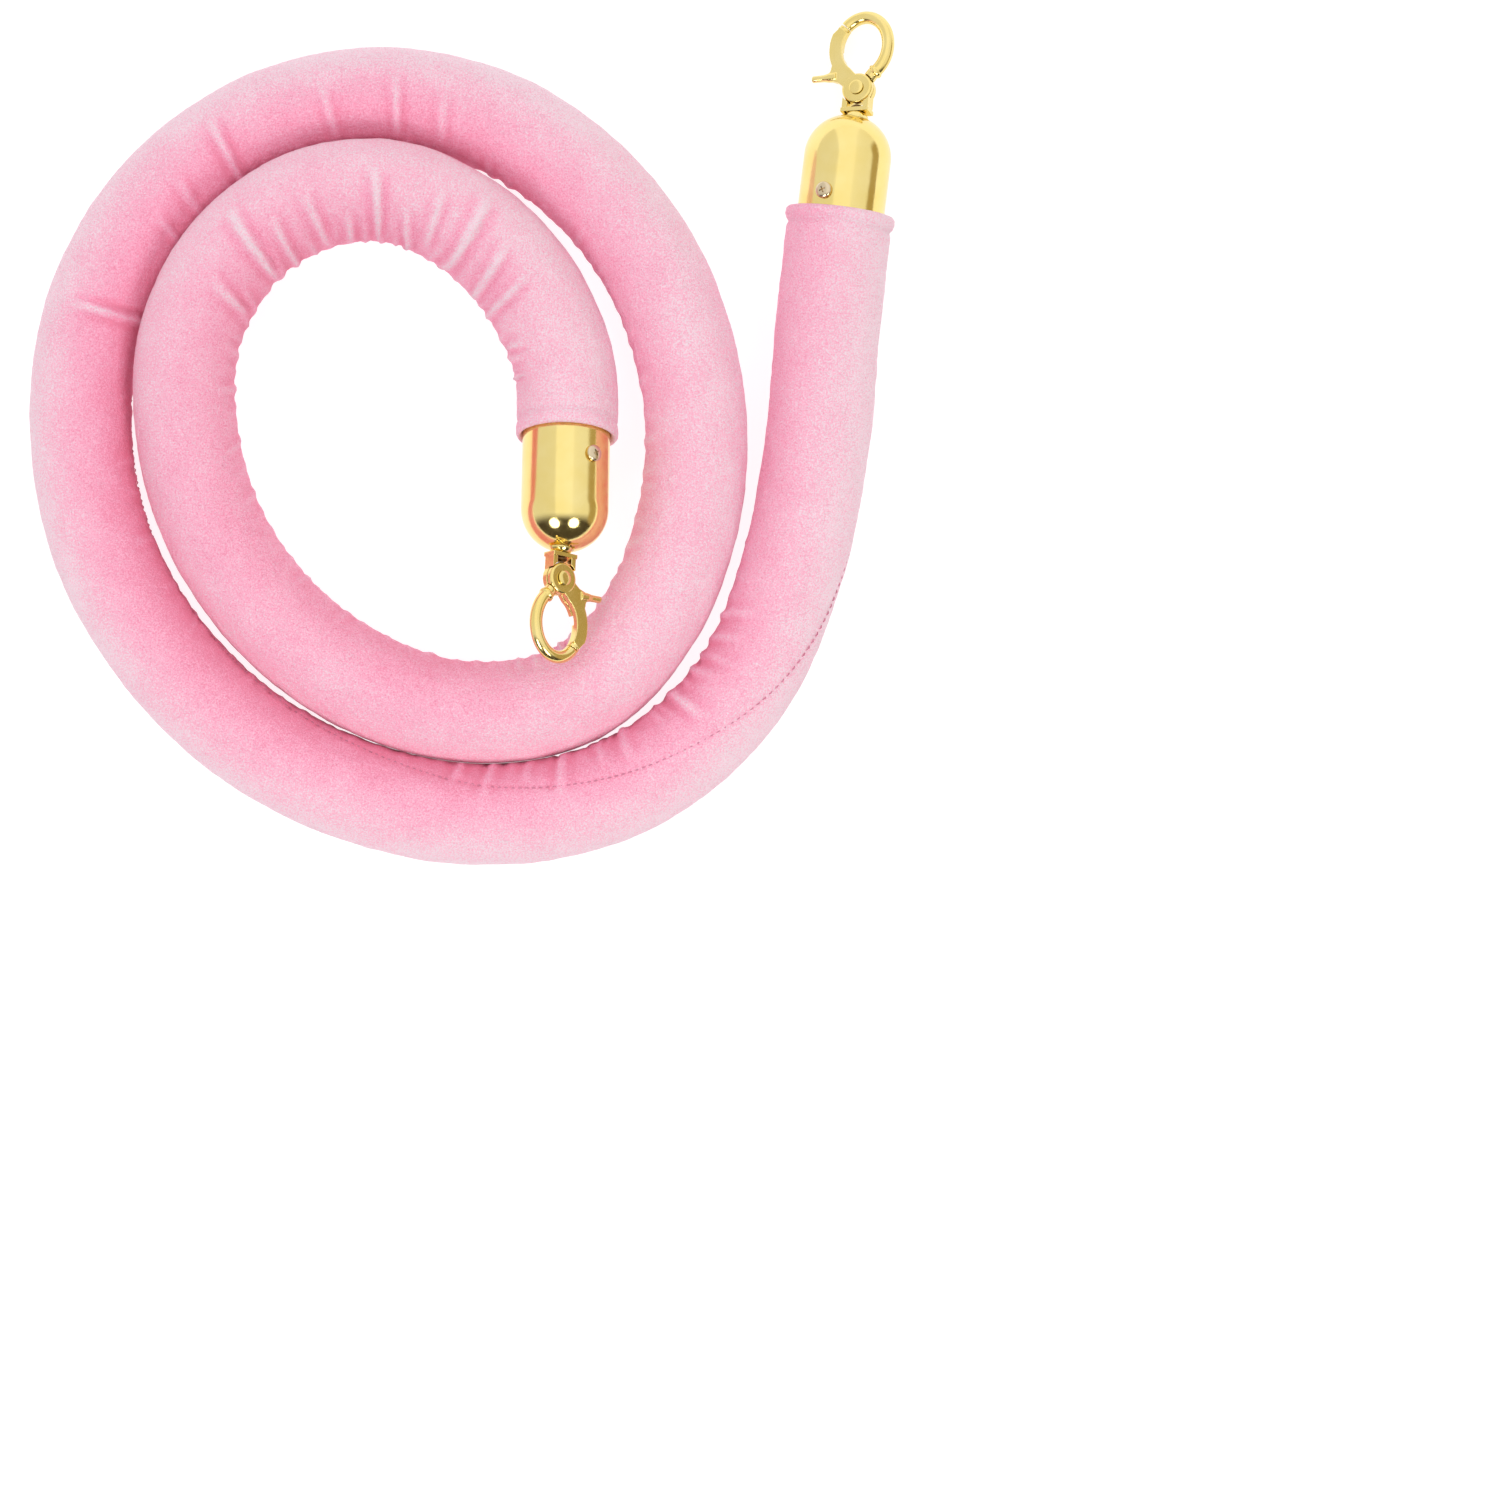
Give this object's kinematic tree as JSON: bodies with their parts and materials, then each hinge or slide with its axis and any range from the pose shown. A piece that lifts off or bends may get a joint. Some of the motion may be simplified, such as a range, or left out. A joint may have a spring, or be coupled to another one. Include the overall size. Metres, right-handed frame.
{
  "type": "velvet barrier rope",
  "caption": "Velvet-covered padded barrier rope in a loose spiral, with a domed brass cap and a swivelling spring snap hook at each end.",
  "frame": {"origin": "middle of the bounding box, on the surface that the rope lies on", "axes": "+Z up from the surface; +Y along the outer end's straight stretch, towards its cap; +X to the right seen from above with +Y up"},
  "size_m": [0.296, 0.2934, 0.0515],
  "materials": {
    "velvet": "short-pile pink velvet",
    "core_foam": "padded cotton and foam core",
    "turned_wood": "turned, unvarnished",
    "polished_brass": "polished gold plate",
    "screw_brass": "plated, slightly worn",
    "post_steel": "plated steel",
    "hook_brass": "polished gold plate over casting",
    "rivet_brass": "peened, plated",
    "spring_steel": "oiled spring wire"
  },
  "bodies": {
    "rope": {"velvet_sleeve": "velvet", "rope_core": "core_foam", "core_plug_a": "turned_wood", "core_plug_b": "turned_wood", "end_cap_a": "polished_brass", "end_cap_b": "polished_brass", "cap_screw_a": "screw_brass", "cap_screw_b": "screw_brass", "swivel_post_a": "post_steel", "swivel_post_b": "post_steel", "post_washer_a": "post_steel", "post_washer_b": "post_steel"},
    "hook_a": {"hook_body_a": "hook_brass", "pivot_rivet_a": "rivet_brass", "lever_spring_a": "spring_steel"},
    "lever_a": {"hook_lever_a": "hook_brass"},
    "hook_b": {"hook_body_b": "hook_brass", "pivot_rivet_b": "rivet_brass", "lever_spring_b": "spring_steel"},
    "lever_b": {"hook_lever_b": "hook_brass"}
  },
  "joints": [
    {"name": "hook_a_swivel", "type": "hinge", "parent": "rope", "child": "hook_a", "pos_m": [0.1348, 0.10962, 0.0152], "axis": [0.0911, 0.9467, -0.309], "continuous": true},
    {"name": "hook_a_lever", "type": "hinge", "parent": "hook_a", "child": "lever_a", "pos_m": [0.13569, 0.1189, 0.01217], "axis": [-0.3617, 0.3206, 0.8755], "range_deg": [0, 20], "stiffness_Nm_per_rad": 0.08, "springref_deg": -34.38, "deforming": ["lever_spring_a"]},
    {"name": "hook_b_swivel", "type": "hinge", "parent": "rope", "child": "hook_b", "pos_m": [0.034, -0.04028, 0.0377], "axis": [-0.0427, -0.9772, 0.2079], "continuous": true},
    {"name": "hook_b_lever", "type": "hinge", "parent": "hook_b", "child": "lever_b", "pos_m": [0.03358, -0.04986, 0.03974], "axis": [0.6491, 0.1311, 0.7493], "range_deg": [0, 20], "stiffness_Nm_per_rad": 0.08, "springref_deg": -34.38, "deforming": ["lever_spring_b"]}
  ]
}
